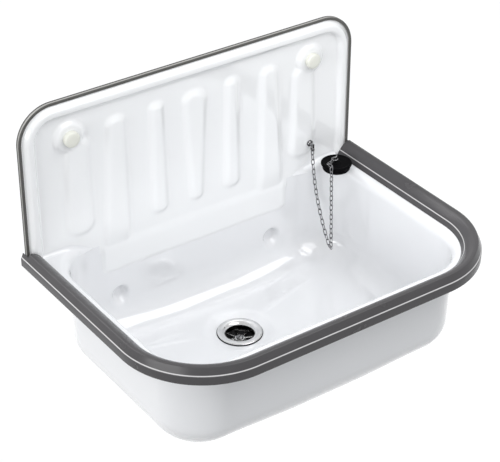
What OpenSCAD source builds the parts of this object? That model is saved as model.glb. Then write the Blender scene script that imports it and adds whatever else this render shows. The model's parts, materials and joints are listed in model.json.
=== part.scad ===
// Wall-hung utility sink: pressed enamelled steel bowl with a ribbed backsplash,
// edge trims, strainer waste, and a plug on a link chain.
// Millimetres. Origin midway between the two wall screws, on the wall plane.
// +X to the viewer's right, +Y into the wall, +Z up.

/* [Sheet] */

// Thickness of the pressed steel sheet
sheet = 2; // [1.5:0.1:3]
// Distance from the wall to the back of the backsplash sheet
wall_gap = 5.5; // [4:0.5:10]

/* [Overall] */

// Half of the sink's width, over the rim trim
rim_half_w = 255; // [240:1:280]
// Distance from the wall to the front of the rim trim
rim_front = 350; // [330:1:380]
// Height of the backsplash over its trim
back_top = 53; // [40:1:90]

/* [Bowl] */

// Height of the flange's top face
flange_z = -157.8; // [-180:0.1:-140]
// Height of the floor's inner face away from the drain
floor_z = -304; // [-340:1:-260]
// Distance from the rim trim's outer face in to the bowl's side wall
bowl_in = 36; // [34:0.5:44]
// Distance from the rim trim's front in to the bowl's front wall
bowl_front_in = 41.5; // [36:0.5:50]
// Outer radius of the four upright corners
corner_r = 64; // [50:1:72]
// Inner radius between wall and floor
floor_fillet = 46; // [30:1:50]
// Inner radius where the walls turn out into the flange
mouth_r = 12.5; // [6:0.5:16]
// Lean of the walls, mm per mm of depth
draft = 0.03; // [0:0.01:0.04]
// Radius of the round hollow about the drain
dish_r = 50; // [45:1:60]
// Depth of the hollow about the drain
dish_depth = 4; // [2:0.5:8]
// Distance from the wall to the drain's centre
drain_y = 108; // [100:1:160]
// Height of the rear dimples
dimple_z = -254; // [-260:1:-220]
// Radius of a dimple's flat that rests on the wall
dimple_r = 8; // [5:0.5:12]

/* [Rim trim] */

// Outer radius of the trim's front corners
rim_corner_r = 113; // [90:1:120]
// Height of the trim above the flange
rim_rise = 16.7; // [12:0.1:22]
// Width of the trim seen from above
rim_w = 25.6; // [20:0.1:32]

/* [Backsplash] */

// Radius of the top corners over the trim
back_corner_r = 48; // [30:1:70]
// How far a rib is pressed forward
rib_rise = 5; // [3:0.5:6]
// How far the border bead is pressed forward
bead_rise = 6.5; // [4:0.5:8]
// Height of the top ends of the ribs
rib_top = 12; // [0:1:20]
// Height of the bottom ends of the ribs
rib_bottom = -156; // [-160:1:-120]
// Height of the tab's lower edge
tab_bottom = -218; // [-230:1:-205]

/* [Wall fixing] */

// Distance from the backsplash's side edge in to a wall screw
screw_in = 69; // [60:1:80]
// Radius of a wall screw
screw_r = 4; // [3:0.5:5]
// Length of a wall screw behind the wall plane
screw_reach = 45; // [30:5:70]
// Radius of a screw cap
cap_r = 10.5; // [9.5:0.5:14]

/* [Waste] */

// Radius of the strainer's flange
flange_r = 30; // [27:0.5:36]
// Radius of the throat that the plug shuts
throat_r = 18.7; // [16:0.1:20]
// Radius of the threaded tail
tail_r = 20.95; // [20:0.05:24]
// Length of the threaded tail
tail_len = 40; // [30:1:70]
// Number of strainer bars
bars = 8; // [4:1:12]

/* [Chain and plug] */

// Radius of the chain's wire
wire_r = 0.6; // [0.4:0.05:0.7]
// Radius of a link's round end, to the wire's middle
link_a = 2.1; // [1.9:0.1:2.5]
// Length of a link, from wire middle to wire middle
link_len = 8.7; // [8:0.1:9.5]
// Slack between two links
link_gap = 0.2; // [0.1:0.05:0.4]
// Number of links from the holder to the low point
fall_links = 19; // [15:2:19]
// Number of links from the low point up to the plug
rise_links = 17; // [13:2:17]
// Top radius of the plug
plug_r = 21; // [20:0.5:22]
// Height of the plug
plug_h = 11; // [8:0.5:14]

/* [Hidden] */

$fn = 64;
tiny = 0.01;
fit_gap = 0.3;

// Widths that follow the rim
back_half_w = rim_half_w - 4;
bowl_half_w = rim_half_w - bowl_in;
tab_in = 7;
tab_half_w = bowl_half_w - corner_r - tab_in;
dimple_x = tab_half_w - 27;
ledge_half = rim_half_w - 55;

// Bowl
centre_x = bowl_half_w - corner_r;
rear_cy = -wall_gap - corner_r;
front_cy = -rim_front + bowl_front_in + corner_r;
straight_y = rear_cy - front_cy;
mouth_z = flange_z - mouth_r;
inner_r = corner_r - sheet;
outer_mouth_r = mouth_r - sheet;
opening_r = inner_r + mouth_r;
underside_z = floor_z - sheet;
outer_fillet = floor_fillet + sheet;
wall_deep = mouth_z - (floor_z + floor_fillet);
wall_in = draft * wall_deep;
face_y = -wall_gap - sheet;
lean = atan(draft);

// Rim: distances inward from the outer face, heights over the flange
rim_cx = rim_half_w - rim_corner_r;
rim_cy = -rim_front + rim_corner_r;
rim_wall = 2.2;
skirt_low = -5.6;
hook_top = -4.2;
edge_in = 3.5;
crown_s = 9;
rim_outer = [
    [0, skirt_low], [0, 5.8], [1.2, 7], [3, 11.6], [4.9, rim_rise - 0.3],
    [6.6, rim_rise], [crown_s, rim_rise], [13, rim_rise - 1.5],
    [17, rim_rise - 4.5], [20, rim_rise - 7.5], [23, rim_rise - 11.5],
    [rim_w, 0.6], [rim_w, 0]
];
rim_inner = [
    [rim_w - rim_wall, 0], [21, rim_rise - 13], [18.2, rim_rise - 9.4],
    [15.4, rim_rise - 6.6], [12, rim_rise - 4.1], [crown_s, rim_rise - 2.4],
    [6.4, rim_rise - 2.6], [3.6, 7.4], [rim_wall, 5.2],
    [rim_wall, hook_top], [6, hook_top], [6, skirt_low]
];

// Backsplash
screw_x = back_half_w - screw_in;
strip_w = 4.5;
strip_wall = 1.7;
strip_depth = sheet + 2 * strip_wall;
strip_y = face_y - strip_wall;
slot_floor = 1;
panel_in = slot_floor + fit_gap;
panel_r = back_corner_r - panel_in;
back_cx = back_half_w - back_corner_r;
back_cz = back_top - back_corner_r;
bead_foot = 6;
bead_slope = 5.5;
bead_crest = 6;
bead_w = bead_foot + 2 * bead_slope + bead_crest;
side_foot = flange_z + hook_top;
lap_top = mouth_z - 11.7;
tab_corner_r = 12;
cove_r = 10;
cove_start = rim_half_w - 46.5;
rib_slope = 7;
rib_x = 0.3132 * screw_x;
rib_w_top = 27;
rib_w_bottom = 34;
mid_w_top = 47;
mid_w_bottom = 27;
lap_x = [0.6374 * screw_x, tab_half_w - 27];
lap_w_top = 35;
lap_w_bottom = 52;
lap_bottom = lap_top + 0.5;
end_x = screw_x - 10;
end_w_top = 40;
end_w_bottom = 50;
end_top = -10;
end_bottom = rib_bottom + 8;
boss_r = 22;
boss_crest_r = 17;
boss_rise = 4.5;
boss_y = face_y - boss_rise;

// Wall fixing
hole_r = screw_r + 1.5;
washer_r = 8.6;
washer_bore = screw_r + 1.3;
washer_h = 1.5;
head_r = 7;
head_h = 4;
cap_wall = 1.5;
cap_h = washer_h + head_h + 1 + cap_wall;
bush_r = 11;
bush_bore = 7.9;

// Waste: heights
seat_z = floor_z - dish_depth;
seal_h = 1;
flange_h = 2;
seal_top = seat_z + seal_h;
seat_r = flange_r + 2;
drain_hole_r = 22;
body_seal_h = 3;
body_top = seat_z - sheet - body_seal_h;
body_flange_h = 3;
cup_wall = 1.6;
cup_r = throat_r + cup_wall;
cup_deep = 9;
grid_z = seal_top - cup_deep;
grid_h = 2.5;
hub_r = 5;
body_bore = cup_r + 0.4;
body_r = 25;
body_low = grid_z - grid_h - 6;
tail_low = body_low - tail_len;
tail_bore = 18;
boss_h = 5;

// Chain: the holder's eye, then the points where links meet
holder_x = screw_x;
stem_z = -125;
eye_z = -131.2;
eye_y = -19;
eye_hole = 1.8;
eye_r = 3.4;
eye_w = 2.2;
lug_w = 5.2;
crest_y = face_y - rib_rise;
stem_r = 2;
stem_end = -wall_gap - 0.7;
nut_h = 3.2;
nut_r = 3.9;
holder_washer_r = 4.5;
holder_washer_h = 1;
pitch = link_len - 2 * wire_r - link_gap;
eye_slack = eye_hole - wire_r - link_gap - 0.35;
grip = link_a - 2 * wire_r - link_gap;
link_straight = link_len - 2 * link_a;
// The falling run starts nearly upright and leans forward more from link to link
fall_tilt = [4, 30.5];
fall_way = [1, -41] / norm([1, -41]);
function fall_dir(i) =
    let (a = fall_tilt[0] + (fall_tilt[1] - fall_tilt[0]) * i / (fall_links - 1))
    [sin(a) * fall_way[0], sin(a) * fall_way[1], -cos(a)];
function fall_pos(i) =
    i == 0 ? eye + eye_slack * fall_dir(0) : fall_pos(i - 1) + pitch * fall_dir(i - 1);
eye = [holder_x, eye_y, eye_z];
low_dir = fall_dir(fall_links - 1);
low = fall_pos(fall_links - 1) + link_len * low_dir;
turn_dip = 22;
turn_dir = [0, -cos(turn_dip), -sin(turn_dip)];
turn_start = low + grip * low_dir;
turn_end = turn_start + link_straight * turn_dir;
rise_len = (rise_links - 1) * pitch + link_len;
rise_lean = [1, 6];
rise_dir = [rise_lean[0], rise_lean[1], sqrt(pow(rise_len, 2) - pow(norm(rise_lean), 2))]
    / rise_len;
rise_low = turn_end + grip * rise_dir;
bend = rise_low + rise_len * rise_dir;
plug_c = [holder_x + 22, -44.2];
plug_z = flange_z + fit_gap;
plug_foot_r = 18.5;
staple_a = 2.2;
staple_r = 0.8;
ring_r = 0.7;
lead_0 = bend + grip * rise_dir;
lead_z = lead_0[2];
lead_1 = lead_0 + [0, link_straight + link_a, 0];
lead_span = [plug_c[0] - lead_1[0], plug_c[1] - lead_1[1], 0];
lead_dist = norm(lead_span);
lead_dir = lead_span / lead_dist;
lead_turn = atan2(lead_dir[1], lead_dir[0]);
lead_2 = lead_1 + pitch * lead_dir;
lead_3 = lead_2 + pitch * lead_dir;
ring_back = wire_r + ring_r + link_gap;
staple_pull = staple_a - staple_r - ring_r - link_gap;
ring_a = (lead_dist - 2 * pitch + ring_back - staple_pull) / 2;

enamel = [0.95, 0.95, 0.93];
dark = [0.16, 0.16, 0.17];
steel = [0.75, 0.76, 0.78];
rubber = [0.07, 0.07, 0.07];
cream = [0.93, 0.91, 0.82];
grey = [0.4, 0.41, 0.42];

function arc(cx, cy, r, a0, a1, n) =
    [for (i = [0 : n]) let (a = a0 + (a1 - a0) * i / n)
        [cx + r * cos(a), cy + r * sin(a)]];

// Section of the bowl's wall, floor and mouth: distance out from a corner's axis, height
bowl_section = concat(
    [[0, underside_z]],
    arc(inner_r - wall_in - floor_fillet, floor_z + floor_fillet,
        outer_fillet, -90, -lean, 9),
    [[corner_r, mouth_z]],
    arc(opening_r, mouth_z, outer_mouth_r, 180, 90, 5),
    arc(opening_r, mouth_z, mouth_r, 90, 180, 5),
    arc(inner_r - wall_in - floor_fillet, floor_z + floor_fillet,
        floor_fillet, -lean, -90, 9),
    [[0, floor_z]]
);

// Sweeps a section round the four corners and sides of the bowl
module round_bowl() {
    for (m = [0, 1]) mirror([m, 0, 0]) {
        translate([centre_x, rear_cy, 0]) rotate_extrude(angle = 90)
            polygon(bowl_section);
        translate([centre_x, front_cy, 0]) rotate([0, 0, -90])
            rotate_extrude(angle = 90) polygon(bowl_section);
        translate([centre_x, rear_cy, 0]) rotate([90, 0, 0])
            linear_extrude(straight_y) polygon(bowl_section);
    }
    translate([centre_x, front_cy, 0]) rotate([90, 0, -90])
        linear_extrude(2 * centre_x) polygon(bowl_section);
    translate([-centre_x, rear_cy, 0]) rotate([90, 0, 90])
        linear_extrude(2 * centre_x) polygon(bowl_section);
    translate([-centre_x, front_cy, underside_z])
        cube([2 * centre_x, straight_y, sheet]);
}

// Plan of the flange, moved in from the trim's outer face
module flange_plan(inset) {
    r = rim_corner_r - inset;
    translate([-rim_cx, -rim_front + inset]) square([2 * rim_cx, r]);
    translate([-rim_half_w + inset, rim_cy])
        square([2 * (rim_half_w - inset), face_y - rim_cy]);
    for (s = [-1, 1]) translate([s * rim_cx, rim_cy]) circle(r);
}

module mouth_plan() {
    translate([-centre_x - opening_r, front_cy])
        square([2 * (centre_x + opening_r), straight_y]);
    translate([-centre_x, front_cy - opening_r])
        square([2 * centre_x, straight_y + 2 * opening_r]);
    for (s = [-1, 1], y = [rear_cy, front_cy])
        translate([s * centre_x, y]) circle(opening_r);
}

module flange_plate() {
    translate([0, 0, flange_z - sheet]) linear_extrude(sheet)
        difference() {
            flange_plan(edge_in);
            mouth_plan();
        }
    translate([0, 0, flange_z + hook_top])
        linear_extrude(-hook_top - tiny)
            difference() {
                flange_plan(edge_in);
                flange_plan(edge_in + sheet);
            }
}

// Concave corner between ledge and backsplash
module ledge_cove() {
    run = back_half_w - bead_w - fit_gap - cove_start;
    translate([cove_start, 0, 0]) rotate([90, 0, 90]) linear_extrude(run)
        polygon(concat(
            [[face_y, flange_z - tiny]],
            [[face_y, flange_z + cove_r]],
            arc(face_y - cove_r, flange_z + cove_r, cove_r, 0, -90, 6),
            [[face_y - cove_r, flange_z - tiny]]
        ));
}

module dimple(grow, y0, y1) {
    translate([0, y0, dimple_z]) rotate([-90, 0, 0])
        cylinder(y1 - y0, dimple_r + 4 + grow, dimple_r + grow);
}

// Floor round the drain: slope from the flat floor down to the waste's seat
module drain_dish(top, bottom) {
    translate([0, -drain_y, 0]) rotate_extrude()
        polygon([[0, bottom], [seat_r, bottom], [dish_r, top], [0, top]]);
}

module bowl() {
    color(enamel)
    difference() {
        union() {
            difference() {
                union() {
                    round_bowl();
                    flange_plate();
                }
                // Above the mouth the backsplash stands in place of the rear wall
                translate([-rim_half_w, face_y, mouth_z])
                    cube([2 * rim_half_w, 2 * corner_r, 2 * mouth_r]);
                translate([-tab_half_w - fit_gap, face_y - sheet, lap_top])
                    cube([2 * (tab_half_w + fit_gap), 2 * corner_r, 4 * mouth_r]);
            }
            ledge_cove();
            mirror([1, 0, 0]) ledge_cove();
            for (s = [-1, 1]) translate([s * dimple_x, 0, 0])
                dimple(0, face_y - 2.5, 0);
            drain_dish(underside_z, seat_z - sheet);
        }
        for (s = [-1, 1]) translate([s * dimple_x, 0, 0])
            dimple(-sheet, face_y - 5, -sheet);
        drain_dish(floor_z, seat_z);
        translate([0, -drain_y, seat_z - 2 * sheet])
            cylinder(3 * sheet, drain_hole_r, drain_hole_r);
    }
}

// Outline of a rib: half ellipses at the ends, straight sides between, foot moved by dx
function rib_outline(wt, wb, len, dx, round = 0.42) = concat(
    [for (i = [0 : 8]) let (a = 180 * i / 8)
        [wt / 2 * cos(a) - dx / 2, len / 2 - wt * round + wt * round * sin(a)]],
    [for (i = [0 : 8]) let (a = 180 + 180 * i / 8)
        [wb / 2 * cos(a) + dx / 2, -len / 2 + wb * round + wb * round * sin(a)]]
);

module rib(x, wt, wb, top, bottom, y0, dx = 0) {
    len = top - bottom;
    sx = 1 - 4 * rib_slope / (wt + wb);
    sz = 1 - 2 * rib_slope / len;
    translate([x + dx / 2, y0, (top + bottom) / 2]) rotate([90, 0, 0])
        linear_extrude(rib_rise, scale = [sx, sz], slices = 1, $fn = 0)
            polygon(rib_outline(wt, wb, len, dx));
}

module boss(y0) {
    for (s = [-1, 1]) translate([s * screw_x, y0, 0]) rotate([90, 0, 0])
        cylinder(boss_rise, boss_r, boss_crest_r);
}

module ribs(y0) {
    rib(0, mid_w_top, mid_w_bottom, rib_top, rib_bottom, y0);
    for (m = [0, 1]) mirror([m, 0, 0]) {
        rib(rib_x, rib_w_top, rib_w_bottom, rib_top, rib_bottom, y0);
        // This rib runs on down to the step, where the tab takes over its height
        rib(lap_x[0], lap_w_top, lap_w_bottom, rib_top, lap_bottom, y0, lap_x[1] - lap_x[0]);
        rib(end_x, end_w_top, end_w_bottom, end_top, end_bottom, y0);
    }
    boss(y0);
}

// Border bead section: distance in from the outer edge, forward of the sheet
bead_section = [
    [bead_foot, 0], [bead_foot + bead_slope, bead_rise],
    [bead_foot + bead_slope + bead_crest, bead_rise],
    [bead_w, 0]
];

module bead(y0) {
    for (m = [0, 1]) mirror([m, 0, 0]) {
        translate([0, 0, flange_z]) linear_extrude(back_cz - flange_z)
            polygon([for (p = bead_section) [back_half_w - p[0], y0 - p[1]]]);
        translate([back_cx, y0, back_cz]) rotate([90, 0, 0])
            rotate_extrude(angle = 90)
                polygon([for (p = bead_section) [back_corner_r - p[0], p[1]]]);
    }
    translate([-back_cx, y0, back_top]) rotate([0, 90, 0])
        linear_extrude(2 * back_cx)
            polygon([for (p = bead_section) [p[0], -p[1]]]);
}

module panel_plan() {
    half = back_half_w - panel_in;
    translate([-half, side_foot]) square([2 * half, back_cz - side_foot]);
    translate([-back_cx, back_cz]) square([2 * back_cx, panel_r]);
    for (s = [-1, 1]) translate([s * back_cx, back_cz]) circle(panel_r);
    translate([-ledge_half, mouth_z]) square([2 * ledge_half, side_foot - mouth_z]);
}

// The tab steps forward over the bowl's rear wall and follows its lean
module tab() {
    step_y = face_y - draft * (mouth_z - lap_top);
    foot_y = face_y - draft * (mouth_z - tab_bottom);
    intersection() {
        translate([-tab_half_w, 0, 0]) rotate([90, 0, 90])
            linear_extrude(2 * tab_half_w)
                polygon([
                    [face_y, mouth_z], [step_y - sheet, lap_top],
                    [foot_y - sheet, tab_bottom], [foot_y, tab_bottom],
                    [step_y, lap_top], [face_y + sheet, mouth_z]
                ]);
        rotate([90, 0, 0]) linear_extrude(30) {
            translate([-tab_half_w, tab_bottom + tab_corner_r])
                square([2 * tab_half_w, mouth_z - tab_bottom]);
            translate([-tab_half_w + tab_corner_r, tab_bottom])
                square([2 * (tab_half_w - tab_corner_r), 2 * tab_corner_r]);
            for (s = [-1, 1])
                translate([s * (tab_half_w - tab_corner_r), tab_bottom + tab_corner_r])
                    circle(tab_corner_r);
        }
    }
}

module backsplash() {
    color(enamel)
    difference() {
        union() {
            translate([0, -wall_gap, 0]) rotate([90, 0, 0])
                linear_extrude(sheet) panel_plan();
            ribs(face_y);
            bead(face_y);
            tab();
        }
        ribs(-wall_gap);
        bead(-wall_gap);
        for (s = [-1, 1]) translate([s * screw_x, 0, 0]) rotate([90, 0, 0])
            cylinder(30, hole_r, hole_r);
        translate([holder_x, 0, stem_z]) rotate([90, 0, 0])
            cylinder(30, stem_r + fit_gap, stem_r + fit_gap);
    }
}

module rim_section() {
    polygon([for (p = concat(rim_outer, rim_inner)) [-p[0], flange_z + p[1]]]);
}

module rim_trim() {
    side_run = -rim_cy - fit_gap;
    color(dark)
    difference() {
        union() {
            for (m = [0, 1]) mirror([m, 0, 0]) {
                translate([rim_half_w, -fit_gap, 0]) rotate([90, 0, 0])
                    linear_extrude(side_run) rim_section();
                translate([rim_cx, rim_cy, 0]) rotate([0, 0, -90])
                    rotate_extrude(angle = 90)
                        translate([rim_corner_r, 0]) rim_section();
            }
            translate([rim_cx, -rim_front, 0]) rotate([90, 0, -90])
                linear_extrude(2 * rim_cx) rim_section();
        }
        // Notch for the backsplash and its edge strip
        translate([-back_half_w - 2 * fit_gap, face_y - bead_rise - fit_gap, flange_z - rim_w])
            cube([2 * (back_half_w + 2 * fit_gap), 2 * rim_w, 3 * rim_w]);
    }
}

module strip_section() {
    difference() {
        translate([-strip_w, 0]) square([strip_w, strip_depth]);
        translate([-strip_w - 1, strip_wall]) square([strip_w + 1 - slot_floor, sheet]);
    }
}

module back_trim() {
    leg = back_cz - flange_z;
    color(dark) translate([0, strip_y, 0]) {
        for (m = [0, 1]) mirror([m, 0, 0]) {
            translate([back_half_w, 0, flange_z]) linear_extrude(leg) strip_section();
            translate([back_cx, 0, back_cz]) rotate([90, 0, 0]) rotate_extrude(angle = 90)
                translate([back_corner_r, -strip_depth]) strip_section();
        }
        translate([-back_cx, 0, back_top]) rotate([0, 90, 0]) linear_extrude(2 * back_cx)
            mirror([1, 0]) strip_section();
    }
}

module wall_bush(s) {
    color(grey) translate([s * screw_x, 0, 0]) rotate([90, 0, 0])
        difference() {
            cylinder(-boss_y - sheet, bush_r, bush_r);
            translate([0, 0, -1]) cylinder(20, bush_bore, bush_bore);
        }
}

module wall_washer(s) {
    color(steel) translate([s * screw_x, boss_y, 0]) rotate([90, 0, 0])
        difference() {
            cylinder(washer_h, washer_r, washer_r);
            translate([0, 0, -1]) cylinder(20, washer_bore, washer_bore);
        }
}

module wall_screw(s) {
    head_y = boss_y - washer_h;
    color(steel) translate([s * screw_x, 0, 0]) rotate([90, 0, 0]) {
        translate([0, 0, -screw_reach]) cylinder(screw_reach - head_y + tiny, screw_r, screw_r);
        difference() {
            translate([0, 0, -head_y]) cylinder(head_h, head_r, head_r - 1);
            translate([-head_r, -0.7, -head_y + head_h - 1.2]) cube([2 * head_r, 1.4, 2]);
        }
    }
}

module screw_cap(s) {
    inside = cap_r - cap_wall;
    color(cream) translate([s * screw_x, boss_y, 0]) rotate([90, 0, 0])
        rotate_extrude() polygon([
            [inside, 0], [cap_r, 0], [cap_r, cap_h - 2], [cap_r - 0.6, cap_h - 0.6],
            [cap_r - 2, cap_h], [0, cap_h], [0, cap_h - cap_wall], [inside, cap_h - cap_wall]
        ]);
}

module chain_holder() {
    stem_y = crest_y - holder_washer_h;
    color(steel) {
        difference() {
            union() {
                translate(eye - [eye_w / 2, 0, 0]) rotate([0, 90, 0])
                    cylinder(eye_w, eye_r, eye_r);
                translate([holder_x - eye_w / 2, eye_y - lug_w / 2, eye_z])
                    cube([eye_w, lug_w, stem_z + stem_r - eye_z]);
                translate([holder_x, stem_end, stem_z]) rotate([90, 0, 0])
                    cylinder(stem_end - eye_y, stem_r, stem_r);
                translate([holder_x, stem_y, stem_z]) rotate([90, 0, 0])
                    cylinder(1, stem_r + 1.2, stem_r + 0.4);
            }
            translate(eye - [eye_w, 0, 0]) rotate([0, 90, 0])
                cylinder(2 * eye_w, eye_hole, eye_hole);
        }
    }
}

module holder_washer() {
    color(steel) translate([holder_x, crest_y, stem_z]) rotate([90, 0, 0])
        difference() {
            cylinder(holder_washer_h, holder_washer_r, holder_washer_r);
            translate([0, 0, -1]) cylinder(5, stem_r + fit_gap, stem_r + fit_gap);
        }
}

module holder_nut() {
    color(steel) translate([holder_x, crest_y + sheet + nut_h, stem_z]) rotate([90, 0, 0])
        difference() {
            cylinder(nut_h, nut_r, nut_r, $fn = 6);
            translate([0, 0, -1]) cylinder(nut_h + 2, stem_r + fit_gap, stem_r + fit_gap);
        }
}

// One oval link along Z, its near wire at the origin, wide along X
module link() {
    for (s = [-1, 1]) translate([s * link_a, 0, link_a])
        cylinder(link_straight, wire_r, wire_r);
    translate([0, 0, link_a]) rotate([-90, 0, 0]) rotate_extrude(angle = 180)
        translate([link_a, 0]) circle(wire_r);
    translate([0, 0, link_a + link_straight]) rotate([90, 0, 0]) rotate_extrude(angle = 180)
        translate([link_a, 0]) circle(wire_r);
}

// Turns Z onto a direction and keeps X level
module along(dir) {
    rotate([asin(-dir[1]), 0, 0] + [0, atan2(dir[0], dir[2]), 0]) children();
}

// Links in a straight run; each turned a quarter from the last
module run(start, dir, n) {
    for (i = [0 : n - 1])
        translate(start + i * pitch * dir) along(dir)
            rotate([0, 0, 90 * (i % 2)]) link();
}

module chain_fall() {
    color(steel) for (i = [0 : fall_links - 1])
        translate(fall_pos(i)) along(fall_dir(i)) rotate([0, 0, 90 * (i % 2)]) link();
}

module chain_rise() {
    color(steel) {
        translate(turn_start - link_a * turn_dir) along(turn_dir) rotate([0, 0, 90]) link();
        run(rise_low, rise_dir, rise_links);
    }
}

module chain_lead() {
    back_in = pitch - link_len;
    color(steel) {
        translate(lead_0 - [0, link_a, 0]) rotate([-90, 0, 0]) rotate([0, 0, 90]) link();
        translate(lead_1 + back_in * lead_dir) rotate([0, 0, lead_turn])
            rotate([0, 90, 0]) rotate([0, 0, 90]) link();
        translate(lead_2 + back_in * lead_dir) rotate([0, 0, lead_turn])
            rotate([0, 90, 0]) link();
    }
}

module plug() {
    top = plug_h;
    color(rubber) translate([plug_c[0], plug_c[1], plug_z]) rotate_extrude()
        polygon([
            [0, 0], [plug_foot_r - 1, 0], [plug_foot_r, 1],
            [plug_foot_r + 0.8, top - 4], [plug_r - 0.6, top - 3.4],
            [plug_r, top - 2.8], [plug_r, top - 0.8], [plug_r - 0.8, top], [0, top]
        ]);
}

// Staple in the plug's top that holds the ring
module plug_eye() {
    leg = lead_z - (plug_z + plug_h);
    color(steel) translate([plug_c[0], plug_c[1], plug_z + plug_h])
        rotate([0, 0, lead_turn]) {
            for (s = [-1, 1]) translate([s * staple_a, 0, 0])
                cylinder(leg, staple_r, staple_r);
            translate([0, 0, leg]) rotate([90, 0, 0]) rotate_extrude(angle = 180)
                translate([staple_a, 0]) circle(staple_r);
        }
}

module plug_ring() {
    centre = lead_3 + (ring_a - ring_back) * lead_dir;
    color(steel) translate(centre) rotate_extrude()
        translate([ring_a, 0]) circle(ring_r);
}

module strainer_cup() {
    bar_w = 2.4;
    color(steel) translate([0, -drain_y, 0]) {
        rotate_extrude() polygon([
            [throat_r, grid_z - grid_h], [cup_r, grid_z - grid_h], [cup_r, seal_top],
            [flange_r, seal_top], [flange_r, seal_top + 1.2],
            [flange_r - 1.5, seal_top + flange_h], [flange_r - 5, seal_top + flange_h],
            [throat_r + 3, seal_top + 1.2], [throat_r, seal_top - 1.5]
        ]);
        difference() {
            translate([0, 0, grid_z - grid_h]) union() {
                cylinder(grid_h, hub_r + 1.5, hub_r + 1.5);
                for (i = [0 : bars - 1]) rotate([0, 0, 360 * (i + 0.5) / bars])
                    translate([0, -bar_w / 2, 0]) cube([throat_r + 0.5, bar_w, grid_h]);
            }
            translate([0, 0, grid_z - 2 * grid_h]) cylinder(4 * grid_h, 3.4, 3.4);
        }
    }
}

module strainer_screw() {
    low_z = body_low - 1;
    color(steel) translate([0, -drain_y, 0]) difference() {
        union() {
            translate([0, 0, low_z]) cylinder(grid_z - low_z + tiny, 3, 3);
            translate([0, 0, grid_z]) cylinder(2.4, hub_r, hub_r - 0.8);
        }
        translate([-hub_r, -0.6, grid_z + 1.4]) cube([2 * hub_r, 1.2, 2]);
    }
}

module seal(z, h, r0, r1) {
    color(rubber) translate([0, -drain_y, z]) difference() {
        cylinder(h, r1, r1);
        translate([0, 0, -1]) cylinder(h + 2, r0, r0);
    }
}

module waste_body() {
    hub_z = body_low;
    color(grey) translate([0, -drain_y, 0]) {
        rotate_extrude() polygon([
            [body_bore, body_top], [flange_r, body_top],
            [flange_r, body_top - body_flange_h], [body_r, body_top - body_flange_h - 2],
            [body_r, body_low], [tail_r, body_low], [tail_r, tail_low],
            [tail_bore, tail_low], [tail_bore, body_low + 2], [body_bore, body_low + 4]
        ]);
        difference() {
            union() {
                translate([0, 0, hub_z]) cylinder(boss_h, hub_r + 1, hub_r + 1);
                for (i = [0 : 2]) rotate([0, 0, 120 * i + 90])
                    translate([0, -1.5, hub_z - 3]) cube([tail_bore + 0.5, 3, 4]);
                translate([0, 0, hub_z - 3]) cylinder(4, hub_r + 1, hub_r + 1);
            }
            translate([0, 0, hub_z - 10]) cylinder(30, 3 + fit_gap, 3 + fit_gap);
        }
    }
}

bowl();
backsplash();
rim_trim();
back_trim();
wall_bush(-1);  // wall_bush_left
wall_bush(1);  // wall_bush_right
wall_washer(-1);  // wall_washer_left
wall_washer(1);  // wall_washer_right
wall_screw(-1);  // wall_screw_left
wall_screw(1);  // wall_screw_right
screw_cap(-1);  // screw_cap_left
screw_cap(1);  // screw_cap_right
chain_holder();
holder_washer();
holder_nut();
chain_fall();
chain_rise();
chain_lead();
plug();
plug_eye();
plug_ring();
strainer_cup();
strainer_screw();
seal(seat_z, seal_h, cup_r + fit_gap, flange_r - 1);  // flange_seal
seal(body_top, body_seal_h, drain_hole_r, flange_r - 1);  // body_seal
waste_body();
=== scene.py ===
import json
import math

import bpy
from mathutils import Matrix, Vector


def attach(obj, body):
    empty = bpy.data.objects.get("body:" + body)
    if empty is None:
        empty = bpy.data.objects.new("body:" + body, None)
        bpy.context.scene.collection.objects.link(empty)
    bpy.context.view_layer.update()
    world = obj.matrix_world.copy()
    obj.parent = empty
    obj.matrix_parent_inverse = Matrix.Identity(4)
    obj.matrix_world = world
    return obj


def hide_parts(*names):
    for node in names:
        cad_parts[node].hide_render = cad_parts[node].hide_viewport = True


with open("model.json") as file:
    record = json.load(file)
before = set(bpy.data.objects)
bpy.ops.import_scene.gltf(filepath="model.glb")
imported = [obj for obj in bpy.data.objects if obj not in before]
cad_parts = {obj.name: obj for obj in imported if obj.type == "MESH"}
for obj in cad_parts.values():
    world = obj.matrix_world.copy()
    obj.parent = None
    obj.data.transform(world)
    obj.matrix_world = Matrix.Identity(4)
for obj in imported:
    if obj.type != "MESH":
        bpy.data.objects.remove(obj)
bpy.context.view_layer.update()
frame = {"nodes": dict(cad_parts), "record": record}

MM = 0.001


# Camera

CAMERA_TARGET, CAMERA_DISTANCE = (-18.869, -157.0, -116.803), 2055.735
AZIMUTH, ELEVATION, ROLL = math.radians(-35.36), math.radians(32.54), math.radians(0.16)
LENS, SENSOR = 120.33, 36


def set_camera():
    """Places the camera that was fitted to the sink's straight edges in the photograph."""
    target = Vector(CAMERA_TARGET) * MM
    back = Vector((math.sin(AZIMUTH) * math.cos(ELEVATION),
                   -math.cos(AZIMUTH) * math.cos(ELEVATION), math.sin(ELEVATION)))
    data = bpy.data.cameras.new("camera")
    data.sensor_width = SENSOR
    data.lens = LENS
    data.clip_end = 20
    camera = bpy.data.objects.new("camera", data)
    bpy.context.scene.collection.objects.link(camera)
    turn = back.to_track_quat("Z", "Y").to_matrix() @ Matrix.Rotation(ROLL, 3, "Z")
    camera.matrix_world = Matrix.Translation(target + back * (CAMERA_DISTANCE * MM)) @ turn.to_4x4()
    bpy.context.scene.camera = camera


# Materials

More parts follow.
